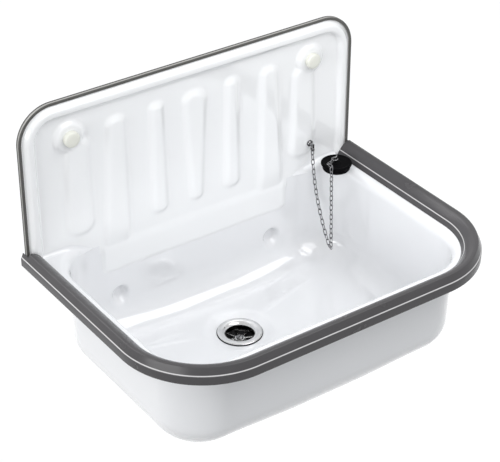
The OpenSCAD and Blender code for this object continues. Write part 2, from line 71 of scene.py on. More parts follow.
def new_material(name, colour, rough, metallic=0.0, **sockets):
    """A Principled material with its fixed sockets set; returns material, shader, nodes, links."""
    material = bpy.data.materials.new(name)
    material.use_nodes = True
    nodes, links = material.node_tree.nodes, material.node_tree.links
    shader = nodes["Principled BSDF"]
    shader.inputs["Base Color"].default_value = (*colour, 1)
    shader.inputs["Roughness"].default_value = rough
    shader.inputs["Metallic"].default_value = metallic
    for socket, value in sockets.items():
        shader.inputs[socket.replace("_", " ")].default_value = value
    material.diffuse_color = (*colour, 1)
    return material, shader, nodes, links


def surface_group(name):
    """Node group: a mottled colour, a roughness and a bump height from two scales of noise."""
    group = bpy.data.node_groups.new(name, "ShaderNodeTree")
    face = group.interface
    for socket, kind in (("Vector", "NodeSocketVector"), ("Colour", "NodeSocketColor"),
                         ("Tint", "NodeSocketColor"), ("Mottle", "NodeSocketFloat"),
                         ("Broad scale", "NodeSocketFloat"), ("Fine scale", "NodeSocketFloat"),
                         ("Rough low", "NodeSocketFloat"), ("Rough high", "NodeSocketFloat")):
        face.new_socket(name=socket, in_out="INPUT", socket_type=kind)
    face.new_socket(name="Colour", in_out="OUTPUT", socket_type="NodeSocketColor")
    face.new_socket(name="Roughness", in_out="OUTPUT", socket_type="NodeSocketFloat")
    face.new_socket(name="Height", in_out="OUTPUT", socket_type="NodeSocketFloat")
    nodes, links = group.nodes, group.links
    entry, leave = nodes.new("NodeGroupInput"), nodes.new("NodeGroupOutput")
    broad, fine = nodes.new("ShaderNodeTexNoise"), nodes.new("ShaderNodeTexNoise")
    for node, socket in ((broad, "Broad scale"), (fine, "Fine scale")):
        links.new(entry.outputs["Vector"], node.inputs["Vector"])
        links.new(entry.outputs[socket], node.inputs["Scale"])
    broad.inputs["Detail"].default_value = 4
    fine.inputs["Detail"].default_value = 2
    share = nodes.new("ShaderNodeMath")
    share.operation = "MULTIPLY"
    links.new(broad.outputs["Fac"], share.inputs[0])
    links.new(entry.outputs["Mottle"], share.inputs[1])
    blend = nodes.new("ShaderNodeMix")
    blend.data_type = "RGBA"
    links.new(share.outputs[0], blend.inputs["Factor"])
    links.new(entry.outputs["Colour"], blend.inputs["A"])
    links.new(entry.outputs["Tint"], blend.inputs["B"])
    links.new(blend.outputs["Result"], leave.inputs["Colour"])
    rough = nodes.new("ShaderNodeMix")
    links.new(broad.outputs["Fac"], rough.inputs["Factor"])
    links.new(entry.outputs["Rough low"], rough.inputs["A"])
    links.new(entry.outputs["Rough high"], rough.inputs["B"])
    links.new(rough.outputs["Result"], leave.inputs["Roughness"])
    links.new(fine.outputs["Fac"], leave.inputs["Height"])
    return group


SURFACE = surface_group("worked_surface")


def finish_of(name, colour, tint, rough, mottle, scales, bump, metallic=0.0, **sockets):
    """Material whose colour, roughness and bump come from the shared surface group."""
    material, shader, nodes, links = new_material(name, colour, rough[0], metallic, **sockets)
    place = nodes.new("ShaderNodeTexCoord")
    group = nodes.new("ShaderNodeGroup")
    group.node_tree = SURFACE
    links.new(place.outputs["Object"], group.inputs["Vector"])
    group.inputs["Colour"].default_value = (*colour, 1)
    group.inputs["Tint"].default_value = (*tint, 1)
    group.inputs["Mottle"].default_value = mottle
    group.inputs["Broad scale"].default_value, group.inputs["Fine scale"].default_value = scales
    group.inputs["Rough low"].default_value, group.inputs["Rough high"].default_value = rough
    links.new(group.outputs["Colour"], shader.inputs["Base Color"])
    links.new(group.outputs["Roughness"], shader.inputs["Roughness"])
    dents = nodes.new("ShaderNodeBump")
    dents.inputs["Strength"].default_value = bump[0]
    dents.inputs["Distance"].default_value = bump[1]
    links.new(group.outputs["Height"], dents.inputs["Height"])
    links.new(dents.outputs["Normal"], shader.inputs["Normal"])
    return material


# One white enamel in two copies: painted light and shade, the backsplash's copy painted lighter and the
# bowl's copy painted darker for how the lamps fall on them.
PANEL_ENAMEL_PAINTED_LIGHTER = finish_of("panel_enamel_painted_lighter", (0.9, 0.905, 0.91), (0.85, 0.86, 0.87), (0.1, 0.16), 0.25, (9, 260),
                         (0.1, 0.0003), Coat_Weight=1.0, Coat_Roughness=0.05, Coat_IOR=1.55)
BOWL_ENAMEL_PAINTED_DARKER = finish_of("bowl_enamel_painted_darker", (0.835, 0.84, 0.855), (0.775, 0.785, 0.8), (0.1, 0.16), 0.25, (9, 260),
                        (0.1, 0.0003), Coat_Weight=1.0, Coat_Roughness=0.05, Coat_IOR=1.55)
TRIM = finish_of("grey_trim", (0.078, 0.075, 0.078), (0.053, 0.051, 0.053), (0.22, 0.3), 0.6, (30, 900),
                 (0.15, 0.0002), Specular_IOR_Level=0.28)
STRIP = finish_of("grey_edge_strip", (0.05, 0.048, 0.045), (0.035, 0.033, 0.03), (0.22, 0.3), 0.6, (30, 900),
                  (0.15, 0.0002), Specular_IOR_Level=0.35)
PLATED = finish_of("plated_steel", (0.48, 0.48, 0.49), (0.01, 0.01, 0.01), (0.1, 0.2), 1.0, (450, 1500),
                   (0.1, 0.0001), metallic=1.0)
ZINC = finish_of("zinc_steel", (0.55, 0.56, 0.58), (0.42, 0.42, 0.44), (0.3, 0.45), 0.5, (120, 900),
                 (0.2, 0.0001), metallic=1.0)
STAINLESS = finish_of("polished_stainless", (0.86, 0.86, 0.86), (0.3, 0.3, 0.3), (0.1, 0.2), 0.6, (110, 900),
                      (0.1, 0.0001), metallic=1.0)
CREAM = finish_of("cream_plastic", (0.8, 0.8, 0.73), (0.74, 0.74, 0.66), (0.25, 0.35), 0.3, (60, 700),
                  (0.1, 0.0001))
GREY = finish_of("grey_plastic", (0.02, 0.02, 0.022), (0.012, 0.012, 0.013), (0.5, 0.65), 0.4, (60, 900),
                 (0.2, 0.0002), Specular_IOR_Level=0.2)
RUBBER = finish_of("black_rubber", (0.003, 0.003, 0.0035), (0.006, 0.006, 0.006), (0.5, 0.62), 0.4, (90, 700),
                   (0.2, 0.0002), Specular_IOR_Level=0.02)


# Half of the width over which a coloured band fades, in millimetres
BAND_BLUR = 0.3


def band_group(name):
    """Node group: a second colour where a place lies within half a width of the middle."""
    group = bpy.data.node_groups.new(name, "ShaderNodeTree")
    for socket in ("Place", "Middle", "Half width"):
        group.interface.new_socket(name=socket, in_out="INPUT", socket_type="NodeSocketFloat")
    for socket in ("Colour", "Band colour"):
        group.interface.new_socket(name=socket, in_out="INPUT", socket_type="NodeSocketColor")
    group.interface.new_socket(name="Colour", in_out="OUTPUT", socket_type="NodeSocketColor")
    nodes, links = group.nodes, group.links
    entry, leave = nodes.new("NodeGroupInput"), nodes.new("NodeGroupOutput")
    offset, reach, past = (nodes.new("ShaderNodeMath") for _ in range(3))
    offset.operation, reach.operation, past.operation = "SUBTRACT", "ABSOLUTE", "SUBTRACT"
    within, blend = nodes.new("ShaderNodeMapRange"), nodes.new("ShaderNodeMix")
    within.inputs["From Min"].default_value = -BAND_BLUR * MM
    within.inputs["From Max"].default_value = BAND_BLUR * MM
    within.inputs["To Min"].default_value, within.inputs["To Max"].default_value = 1, 0
    blend.data_type = "RGBA"
    links.new(entry.outputs["Place"], offset.inputs[0])
    links.new(entry.outputs["Middle"], offset.inputs[1])
    links.new(offset.outputs[0], reach.inputs[0])
    links.new(reach.outputs[0], past.inputs[0])
    links.new(entry.outputs["Half width"], past.inputs[1])
    links.new(past.outputs[0], within.inputs["Value"])
    links.new(within.outputs["Result"], blend.inputs["Factor"])
    links.new(entry.outputs["Colour"], blend.inputs["A"])
    links.new(entry.outputs["Band colour"], blend.inputs["B"])
    links.new(blend.outputs["Result"], leave.inputs["Colour"])
    return group


BAND = band_group("coloured_band")


def tint_band(material, axis, low, high, colour):
    """Gives a finish another colour between two object coordinates, in millimetres along an axis."""
    nodes, links = material.node_tree.nodes, material.node_tree.links
    base = nodes["Principled BSDF"].inputs["Base Color"]
    place, split = nodes.new("ShaderNodeTexCoord"), nodes.new("ShaderNodeSeparateXYZ")
    band = nodes.new("ShaderNodeGroup")
    band.node_tree = BAND
    band.inputs["Middle"].default_value = (low + high) / 2 * MM
    band.inputs["Half width"].default_value = (high - low) / 2 * MM
    band.inputs["Band colour"].default_value = (*colour, 1)
    links.new(place.outputs["Object"], split.inputs["Vector"])
    links.new(split.outputs[axis], band.inputs["Place"])
    links.new(base.links[0].from_socket, band.inputs["Colour"])
    links.new(band.outputs["Colour"], base)


FINISH = {"enamel": BOWL_ENAMEL_PAINTED_DARKER, "edge_metal": TRIM, "plated_steel": PLATED, "zinc_steel": ZINC,
          "cap_plastic": CREAM, "grey_plastic": GREY, "black_rubber": RUBBER, "stainless": STAINLESS}


def finish_nodes():
    """Gives each CAD node the finish of its slot."""
    slots = {row["node"]: row["material_slot"] for row in frame["record"]["subparts"]}
    for name, node in frame["nodes"].items():
        node.data.materials.clear()
        node.data.materials.append(FINISH[slots[name]])


# Shapes of the pressed sheets, in millimetres

SHEET = 2.0
FACE_Y = -7.5
BACK_HALF, BACK_TOP, BACK_CORNER = 251.0, 53.0, 48.0
PANEL_INSET = 1.3
MOUTH_Z, FLANGE_Z = -170.3, -157.8
FLANGE_EDGE_Z = FLANGE_Z - 4.2
STEP_TOP, TAB_TOP, FLANK_HALF = MOUTH_Z + 2, MOUTH_Z - 7, 200.0
TAB_HALF, TAB_LOW, TAB_CORNER, LAP_TOP = 148.0, -218.0, 12.0, -182.0
DRAFT = 0.03
SCREW_X = 182.0
BEAD_RISE, BEAD_OUT, BEAD_OUT_SLOPE, BEAD_IN, BEAD_IN_SLOPE = 6.5, 6.0, 6.0, 23.0, 4.5
BOSS_RISE, BOSS_R, BOSS_SLOPE = 4.5, 23.0, 7.0
RIB_RISE, RIB_SLOPE, RIB_ROUND = 4.3, 12.0, 0.9
LAP_FADE_TOP, LAP_FADE = -150.0, 40.0
END_RIB_SHARE = 0.92
TAB_EDGE, TAB_SUNK = 9.0, 0.5
# Ribs: middle at the top and at the foot, widths there, heights of the two ends
RIBS = [(0, 1.5, 46, 27, 12, -156), (-57, -55, 28, 34, 12, -156), (57, 57, 28, 34, 12, -156)]
LAP_RIBS = [(side * 116, side * 121, 35, 52, 12, -230) for side in (-1, 1)]
END_RIBS = [(side * 172, side * 172, 42, 50, -2, -148) for side in (-1, 1)]
# Height, up or down, of an end that a round box doesn't have
FAR = 600.0


def ease(share):
    """Smooth step from 0 to 1."""
    share = min(max(share, 0.0), 1.0)
    return share * share * (3 - 2 * share)


def inside_round_box(x, z, half_x, low, high, radius):
    """Distance inwards from the edge of a box with round corners; negative outside."""
    out_x = abs(x) - (half_x - radius)
    out_z = abs(z - (low + high) / 2) - ((high - low) / 2 - radius)
    reach = math.hypot(max(out_x, 0), max(out_z, 0)) + min(max(out_x, out_z), 0)
    return radius - reach


def rib_inward(x, z, rib):
    """Distance inwards from a rib's foot."""
    top_x, foot_x, wide_top, wide_foot, top, foot = rib
    share = (z - foot) / (top - foot)
    half = (wide_foot + (wide_top - wide_foot) * share) / 2
    return inside_round_box(x - foot_x - (top_x - foot_x) * share, z, half, foot, top, half * RIB_ROUND)


def panel_height(x, z):
    """How far the backsplash is pressed forward of its flat field."""
    border = inside_round_box(x, z, BACK_HALF, -FAR, BACK_TOP, BACK_CORNER)
    outer, inner = ease((border - BEAD_OUT) / BEAD_OUT_SLOPE), ease((BEAD_IN - border) / BEAD_IN_SLOPE)
    bead = BEAD_RISE * min(outer, inner)
    boss = BOSS_RISE * ease((BOSS_R - math.hypot(abs(x) - SCREW_X, z)) / BOSS_SLOPE)
    rise = [bead, boss]
    rise += [RIB_RISE * ease(rib_inward(x, z, rib) / RIB_SLOPE) for rib in RIBS]
    fade = RIB_RISE * (1 - ease((LAP_FADE_TOP - z) / LAP_FADE))
    rise += [fade * ease(rib_inward(x, z, rib) / RIB_SLOPE) for rib in LAP_RIBS]
    rise += [END_RIB_SHARE * RIB_RISE * ease(rib_inward(x, z, rib) / RIB_SLOPE) for rib in END_RIBS]
    return max(rise)


def tab_height(x, z):
    """The step forward over the bowl's rear wall, and that wall's lean; the tab's edges sink in."""
    side = ease(inside_round_box(x, z, TAB_HALF, TAB_LOW, FAR, TAB_CORNER) / TAB_EDGE)
    below = ease((STEP_TOP - z) / (STEP_TOP - LAP_TOP))
    return SHEET * below * side - TAB_SUNK * below * (1 - side) + DRAFT * max(MOUTH_Z - z, 0)


def sheet_grid(name, low, high, steps):
    """A flat grid of faces in the XZ plane, between two corners in millimetres, facing the viewer."""
    bpy.ops.mesh.primitive_grid_add(x_subdivisions=steps[0], y_subdivisions=steps[1], size=1,
                                    rotation=(math.pi / 2, 0, 0))
    grid = bpy.context.object
    grid.name = name
    grid.scale = ((high[0] - low[0]) * MM, (high[1] - low[1]) * MM, 1)
    grid.location = ((low[0] + high[0]) / 2 * MM, 0, (low[1] + high[1]) / 2 * MM)
    bpy.ops.object.transform_apply(location=True, rotation=True, scale=True)
    return grid


def select_only(piece):
    """Makes one object the only one selected, and active."""
    bpy.ops.object.select_all(action="DESELECT")
    piece.select_set(True)
    bpy.context.view_layer.objects.active = piece


def apply_modifier(piece, kind, **settings):
    """Adds a modifier with its settings and applies it."""
    select_only(piece)
    modifier = piece.modifiers.new(kind.lower(), kind)
    for key, value in settings.items():
        setattr(modifier, key, value)
    bpy.ops.object.modifier_apply(modifier=modifier.name)


def pick_faces(piece, wanted):
    """Selects the faces whose middle, in millimetres, is wanted; left in edit mode."""
    select_only(piece)
    bpy.ops.object.mode_set(mode="EDIT")
    bpy.ops.mesh.select_mode(type="FACE")
    bpy.ops.mesh.select_all(action="DESELECT")
    bpy.ops.object.mode_set(mode="OBJECT")
    for face in piece.data.polygons:
        face.select = wanted(face.center / MM)
    bpy.ops.object.mode_set(mode="EDIT")


def drop_faces(piece, unwanted):
    """Deletes the faces whose middle, in millimetres, is unwanted."""
    pick_faces(piece, unwanted)
    bpy.ops.mesh.delete(type="FACE")
    bpy.ops.object.mode_set(mode="OBJECT")


def soften(piece, angle):
    """Shades a piece smooth, but for edges sharper than an angle in degrees."""
    select_only(piece)
    bpy.ops.object.shade_smooth_by_angle(angle=math.radians(angle))


def dress(piece, node_names, body, material):
    """Gives a finished piece its material and its body, and hides the CAD nodes that it stands for."""
    piece.data.materials.clear()
    piece.data.materials.append(material)
    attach(piece, body)
    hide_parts(*node_names)


def onto_arc(x, z, centre_x, centre_z, radius, margin):
    """Moves a place that lies past a round corner's arc, or within a margin of it, onto the arc."""
    spoke = Vector((x - centre_x, z - centre_z))
    if spoke.length > radius - margin:
        spoke *= radius / spoke.length
    return centre_x + spoke.x, centre_z + spoke.y


SHEET_FACES = (250, 135)
# How far past an arc a face may lie, and how near to a corner or a side a vertex is drawn onto it
PAST_ARC, PANEL_SNAP, TAB_SNAP, SIDE_SNAP = 0.3, 0.4, 1.4, 1.1


def make_backsplash():
    """Presses the ribs, border, bosses and tab into a flat grid, then gives it its thickness."""
    half, radius = BACK_HALF - PANEL_INSET, BACK_CORNER - PANEL_INSET
    corner_z = BACK_TOP - BACK_CORNER
    sheet = sheet_grid("pressed_backsplash", (-half, TAB_LOW), (half, BACK_TOP - PANEL_INSET), SHEET_FACES)

    def beyond(point):
        """Whether a face lies outside the panel, the tab and the flanks between them."""
        x, z = point.x, point.z
        if inside_round_box(x, z, half, -FAR, BACK_TOP - PANEL_INSET, radius) < -PAST_ARC:
            return True
        if z < TAB_TOP:
            return abs(x) > TAB_HALF or inside_round_box(x, z, TAB_HALF, TAB_LOW, 0, TAB_CORNER) < 0
        return z < FLANGE_EDGE_Z and abs(x) > FLANK_HALF

    drop_faces(sheet, beyond)
    for vertex in sheet.data.vertices:
        x, z = vertex.co.x / MM, vertex.co.z / MM
        if z > corner_z and abs(x) > half - radius:
            x, z = onto_arc(x, z, math.copysign(half - radius, x), corner_z, radius, PANEL_SNAP)
        elif z < TAB_LOW + TAB_CORNER and abs(x) > TAB_HALF - TAB_CORNER:
            corner_x = math.copysign(TAB_HALF - TAB_CORNER, x)
            x, z = onto_arc(x, z, corner_x, TAB_LOW + TAB_CORNER, TAB_CORNER, TAB_SNAP)
        elif z < TAB_TOP and abs(abs(x) - TAB_HALF) < SIDE_SNAP:
            x = math.copysign(TAB_HALF, x)
        forward = max(panel_height(x, z), tab_height(x, z))
        vertex.co = Vector((x, FACE_Y - forward, z)) * MM
    apply_modifier(sheet, "SOLIDIFY", thickness=SHEET * MM, offset=-1, use_even_offset=True)
    soften(sheet, 50)
    dress(sheet, ["backsplash"], "sink", PANEL_ENAMEL_PAINTED_LIGHTER)


# Bowl

CORNER_X, REAR_Y, FRONT_Y = 155.0, -69.5, -244.5
INNER_R, MOUTH_R, FILLET = 62.0, 12.5, 46.0
FLOOR_Z, SEAT_Z = -304.0, -308.0
DRAIN_Y, DISH_R, SEAT_R, HOLE_R = -108.0, 50.0, 32.0, 22.0
EDGE_HALF, EDGE_FRONT, EDGE_CX, EDGE_CY, EDGE_R = 251.5, -346.5, 142.0, -237.0, 109.5
EDGE_BACK, EDGE_BACK_R = 14.0, 83.5
DIMPLES, DIMPLE_R, DIMPLE_SLOPE = ((-121.0, -254.0), (121.0, -254.0)), 13.5, 6.0
FLOOR_RISE, FLOOR_FLAT, FLOOR_SLOPE = 5.0, 40.0, 115.0
WALL_IN = DRAFT * (MOUTH_Z - FLOOR_Z - FILLET)
REAR_STEPS, SIDE_STEPS, FRONT_STEPS, BACK_TURN, FRONT_TURN = 124, 28, 50, 20, 24
MOUTH_ROWS, WALL_ROWS, FILLET_ROWS, FLOOR_ROWS = 10, 35, 14, 16
# The tab covers the rear wall behind the first, and the ledge is cut back behind the second
COVERED_Y, LEDGE_Y, LEDGE_SUNK = -12.0, -40.0, 0.9


def bowl_outline():
    """Stations round the bowl: corner axis point, outward angle in degrees, flange edge point."""
    stations = []

    def straight(start, end, edge_start, edge_end, angle, count):
        """Stations along one side."""
        for i in range(count):
            t = i / count
            stations.append((Vector(start).lerp(Vector(end), t), angle,
                             Vector(edge_start).lerp(Vector(edge_end), t)))

    def corner(axis, first, edge_axis, edge_r, count):
        """Stations round one corner, through a quarter turn."""
        for i in range(count):
            angle = first + 90 * i / count
            turn = Vector((math.cos(math.radians(angle)), math.sin(math.radians(angle))))
            stations.append((Vector(axis), angle, Vector(edge_axis) + turn * edge_r))

    back_x, back_y = EDGE_HALF - EDGE_BACK_R, EDGE_BACK - EDGE_BACK_R
    right_rear, left_rear = (CORNER_X, REAR_Y), (-CORNER_X, REAR_Y)
    right_front, left_front = (CORNER_X, FRONT_Y), (-CORNER_X, FRONT_Y)
    corner(right_rear, 0, (back_x, back_y), EDGE_BACK_R, BACK_TURN)
    straight(right_rear, left_rear, (back_x, EDGE_BACK), (-back_x, EDGE_BACK), 90, REAR_STEPS)
    corner(left_rear, 90, (-back_x, back_y), EDGE_BACK_R, BACK_TURN)
    straight(left_rear, left_front, (-EDGE_HALF, back_y), (-EDGE_HALF, EDGE_CY), 180, SIDE_STEPS)
    corner(left_front, 180, (-EDGE_CX, EDGE_CY), EDGE_R, FRONT_TURN)
    straight(left_front, right_front, (-EDGE_CX, EDGE_FRONT), (EDGE_CX, EDGE_FRONT), 270, FRONT_STEPS)
    corner(right_front, 270, (EDGE_CX, EDGE_CY), EDGE_R, FRONT_TURN)
    straight(right_front, right_rear, (EDGE_HALF, EDGE_CY), (EDGE_HALF, back_y), 0, SIDE_STEPS)
    return stations


def bowl_section():
    """Rows down the bowl's skin: kind, distance out from the corner's axis or share, height."""
    opening = INNER_R + MOUTH_R
    rows = [("flange", 1.0, FLANGE_EDGE_Z), ("flange", 1.0, FLANGE_Z - 0.6), ("flange", 0.98, FLANGE_Z)]
    rows += [("flange", t, FLANGE_Z) for t in (0.8, 0.5, 0.2)]
    for i in range(MOUTH_ROWS + 1):
        angle = math.radians(90 + 90 * i / MOUTH_ROWS)
        rows.append(("skin", opening + MOUTH_R * math.cos(angle), MOUTH_Z + MOUTH_R * math.sin(angle)))
    foot = FLOOR_Z + FILLET
    for i in range(1, WALL_ROWS + 1):
        t = i / WALL_ROWS
        rows.append(("skin", INNER_R - WALL_IN * t, MOUTH_Z + (foot - MOUTH_Z) * t))
    middle = INNER_R - WALL_IN - FILLET
    for i in range(1, FILLET_ROWS + 1):
        angle = math.radians(-90 * i / FILLET_ROWS)
        rows.append(("skin", middle + FILLET * math.cos(angle), foot + FILLET * math.sin(angle)))
    rows += [("skin", middle * t, FLOOR_Z) for t in (0.5, 0.0)]
    rows += [("floor", 1 - (1 - i / FLOOR_ROWS) ** 1.5, FLOOR_Z) for i in range(1, FLOOR_ROWS + 1)]
    rows += [("seat", HOLE_R + 4, SEAT_Z), ("seat", HOLE_R, SEAT_Z)]
    return rows


def floor_lift(axis):
    """The floor rises from its middle bays towards the bowl's ends."""
    return FLOOR_RISE * ease((abs(axis.x) - FLOOR_FLAT) / FLOOR_SLOPE)


def dish_drop(place):
    """How far the floor is dished at a place, down to the seat round the drain."""
    reach = (place - Vector((0, DRAIN_Y))).length
    return (FLOOR_Z - SEAT_Z) * (1 - ease((reach - SEAT_R) / (DISH_R - SEAT_R)))


def make_bowl():
    """Lays a grid's rows down the bowl's section and its columns round the outline."""
    stations, rows = bowl_outline(), bowl_section()
    drain = Vector((0, DRAIN_Y))
    bpy.ops.mesh.primitive_grid_add(x_subdivisions=len(stations), y_subdivisions=len(rows) - 1, size=1)
    bowl = bpy.context.object
    bowl.name = "enamelled_bowl"
    across = len(stations) + 1
    foot = FLOOR_Z + FILLET
    for vertex in bowl.data.vertices:
        row, column = divmod(vertex.index, across)
        axis, angle, edge = stations[column % len(stations)]
        kind, reach, height = rows[row]
        turn = Vector((math.cos(math.radians(angle)), math.sin(math.radians(angle))))
        rim = axis + turn * (INNER_R + MOUTH_R)
        lift = floor_lift(axis)
        if kind == "flange":
            place = rim.lerp(edge, reach)
        elif kind == "skin":
            place = axis + turn * reach
            height += lift * ease((foot - height) / FILLET)
        else:
            spoke = (axis - drain).normalized()
            if kind == "floor":
                place = axis.lerp(drain + spoke * SEAT_R, reach)
                height += lift * (1 - ease(reach))
            else:
                place = drain + spoke * reach
        if kind != "seat" and height < foot:
            height -= dish_drop(place) * ease((foot - height) / FILLET)
        depth = 0.0
        if kind == "skin" and abs(angle - 90) < 1 and height < MOUTH_Z:
            for x, z in DIMPLES:
                inward = DIMPLE_R - math.hypot(place.x - x, height - z)
                depth = max(depth, (-SHEET - place.y) * ease(inward / DIMPLE_SLOPE))
        vertex.co = Vector((place.x, place.y + depth, height)) * MM
    select_only(bowl)
    bpy.ops.object.mode_set(mode="EDIT")
    bpy.ops.mesh.select_all(action="SELECT")
    bpy.ops.mesh.remove_doubles(threshold=0.02 * MM)
    bpy.ops.mesh.normals_make_consistent(inside=True)
    bpy.ops.object.mode_set(mode="OBJECT")
    finish_bowl(bowl)


def finish_bowl(bowl):
    """Cuts the bowl back where the backsplash stands, gives it its thickness and its ledge coves."""
    up = sum(face.normal.z for face in bowl.data.polygons if abs(face.center.z / MM - FLOOR_Z) < 1)
    if up < 0:
        select_only(bowl)
        bpy.ops.object.mode_set(mode="EDIT")
        bpy.ops.mesh.select_all(action="SELECT")
        bpy.ops.mesh.flip_normals()
        bpy.ops.object.mode_set(mode="OBJECT")
    drop_faces(bowl, lambda p: p.y > COVERED_Y and p.z > LAP_TOP - 1 and abs(p.x) < TAB_HALF)
    pick_faces(bowl, lambda p: p.z > MOUTH_Z - 1 and p.y > LEDGE_Y)
    cut = (0, (FACE_Y + LEDGE_SUNK) * MM, 0)
    bpy.ops.mesh.bisect(plane_co=cut, plane_no=(0, 1, 0), clear_outer=True)
    bpy.ops.object.mode_set(mode="OBJECT")
    apply_modifier(bowl, "SOLIDIFY", thickness=SHEET * MM, offset=-1, use_quality_normals=True)
    coves = [make_cove(side) for side in (-1, 1)]
    select_only(bowl)
    for cove in coves:
        cove.select_set(True)
    bpy.ops.object.join()
    soften(bowl, 50)
    dress(bowl, ["bowl"], "sink", BOWL_ENAMEL_PAINTED_DARKER)


COVE_IN, COVE_OUT, COVE_R = 158.0, 229.2, 7.0
COVE_COLUMNS, COVE_ROWS = 36, 10


def mouth_drop(x, y):
    """How far the bowl's mouth has rounded down below the flange."""
    out = math.hypot(x - CORNER_X, y - REAR_Y) - INNER_R
    out = min(max(out, 0.0), MOUTH_R)
    return MOUTH_R - math.sqrt(MOUTH_R ** 2 - (MOUTH_R - out) ** 2)


def make_cove(side):
    """Soft inner corner between ledge and backsplash, which dies away where the mouth falls down."""
    bpy.ops.mesh.primitive_grid_add(x_subdivisions=COVE_COLUMNS, y_subdivisions=COVE_ROWS, size=1)
    cove = bpy.context.object
    for vertex in cove.data.vertices:
        row, column = divmod(vertex.index, COVE_COLUMNS + 1)
        x = COVE_IN + (COVE_OUT - COVE_IN) * column / COVE_COLUMNS
        crease = Vector((FACE_Y + 0.1, FLANGE_Z - 0.1 - mouth_drop(x, FACE_Y)))
        reach = COVE_R * (1 - mouth_drop(x, FACE_Y) / MOUTH_R)
        high = crease + Vector((0, reach))
        low = Vector((crease.x - reach, FLANGE_Z - 0.1 - mouth_drop(x, crease.x - reach)))
        t = row / COVE_ROWS
        place = high.lerp(crease, t).lerp(crease.lerp(low, t), t)
        vertex.co = Vector((side * x, place.x, place.y)) * MM
    select_only(cove)
    bpy.ops.object.mode_set(mode="EDIT")
    bpy.ops.mesh.select_all(action="SELECT")
    if side > 0:
        bpy.ops.mesh.flip_normals()
    bpy.ops.object.mode_set(mode="OBJECT")
    return cove


# Trims

def rounded(points, radius, steps=4):
    """A closed outline with its corners rounded; a point may carry its own radius."""
    result = []
    count = len(points)
    for i, point in enumerate(points):
        corner = Vector(point[:2])
        bend = point[2] if len(point) > 2 else radius
        before = Vector(points[i - 1][:2]) - corner
        after = Vector(points[(i + 1) % count][:2]) - corner
        cut = min(bend, before.length * 0.45, after.length * 0.45)
        start, end = corner + before.normalized() * cut, corner + after.normalized() * cut
        if cut < 0.02:
            result.append(corner)
            continue
        for k in range(steps + 1):
            t = k / steps
            result.append(start.lerp(corner, t).lerp(corner.lerp(end, t), t))
    return result


def ring_of(name, places):
    """A closed loop of edges through the given places, in millimetres; left in edit mode, selected."""
    bpy.ops.object.select_all(action="DESELECT")
    bpy.ops.mesh.primitive_circle_add(vertices=len(places), radius=1, fill_type="NOTHING")
    ring = bpy.context.object
    ring.name = name
    for vertex, place in zip(ring.data.vertices, places):
        vertex.co = Vector(place) * MM
    bpy.ops.object.mode_set(mode="EDIT")
    bpy.ops.mesh.select_mode(type="VERT")
    bpy.ops.mesh.select_all(action="SELECT")
    return ring


def draw_on(step):
    """Extrudes the selected loop by a step in millimetres."""
    bpy.ops.mesh.extrude_region_move(TRANSFORM_OT_translate={"value": tuple(v * MM for v in step)})


def turn_on(angle, centre, axis, steps):
    """Spins the selected loop about a centre in millimetres."""
    bpy.ops.mesh.spin(steps=steps, angle=math.radians(angle), center=tuple(v * MM for v in centre), axis=axis)


def close_ends(piece):
    """Fills both open ends, merges doubles and turns the faces outwards."""
    bpy.ops.mesh.select_all(action="SELECT")
    bpy.ops.mesh.remove_doubles(threshold=0.005 * MM)
    bpy.ops.mesh.select_mode(type="EDGE")
    bpy.ops.mesh.select_all(action="DESELECT")
    bpy.ops.mesh.select_non_manifold()
    bpy.ops.mesh.fill()
    bpy.ops.mesh.select_all(action="SELECT")
    bpy.ops.mesh.normals_make_consistent(inside=False)
    bpy.ops.object.mode_set(mode="OBJECT")


def cut_block(piece, low, high):
    """Takes a block, in millimetres, out of a piece."""
    bpy.ops.object.select_all(action="DESELECT")
    middle = [(a + b) / 2 * MM for a, b in zip(low, high)]
    bpy.ops.mesh.primitive_cube_add(size=1, location=middle)
    block = bpy.context.object
    block.scale = [(b - a) * MM for a, b in zip(low, high)]
    bpy.ops.object.transform_apply(location=True, rotation=True, scale=True)
    apply_modifier(piece, "BOOLEAN", operation="DIFFERENCE", object=block, solver="EXACT")
    bpy.data.objects.remove(block)


RIM_HALF, RIM_CX, RIM_CY, RIM_END = 255.0, 142.0, -237.0, -0.3
RIM_CUT_HALF, RIM_CUT_Y = BACK_HALF + 0.6, FACE_Y - 6.8
RIM_SECTION = [
    (0, -5.6, 0.8), (0, 5.8, 0.5), (1.2, 7.0, 0.5), (3.2, 12.4, 3), (4.9, 16.4, 0.7), (8.5, 17.1, 2.5),
    (13, 15.2, 3), (17, 12.2, 2), (20, 9.2, 2), (23, 5.2, 2), (25.6, 0.6, 0.5), (25.6, 0, 0.1),
    (23.4, 0, 0.1), (21, 3.7, 2), (15.4, 10.1, 2), (9, 14.3, 2), (6.4, 14.1, 1), (3.6, 7.4, 1),
    (2.2, 5.2, 0.8), (2.2, -4.2, 0.1), (6, -4.2, 0.2), (6, -5.6, 0.2),
]


def make_rim_trim():
    """Draws the rim's section along its sides and front, and spins it round the two corners."""
    section = rounded(RIM_SECTION, 0.3)
    rim = ring_of("rim_edge_trim", [(RIM_HALF - s, RIM_END, FLANGE_Z + z) for s, z in section])
    draw_on((0, RIM_CY - RIM_END, 0))
    turn_on(90, (RIM_CX, RIM_CY, 0), (0, 0, 1), 36)
    draw_on((-2 * RIM_CX, 0, 0))
    turn_on(90, (-RIM_CX, RIM_CY, 0), (0, 0, 1), 36)
    draw_on((0, RIM_END - RIM_CY, 0))
    close_ends(rim)
    cut_block(rim, (-RIM_CUT_HALF, RIM_CUT_Y, FLANGE_Z - 20), (RIM_CUT_HALF, 30, FLANGE_Z + 40))
    soften(rim, 28)
    dress(rim, ["rim_trim"], "sink", TRIM)


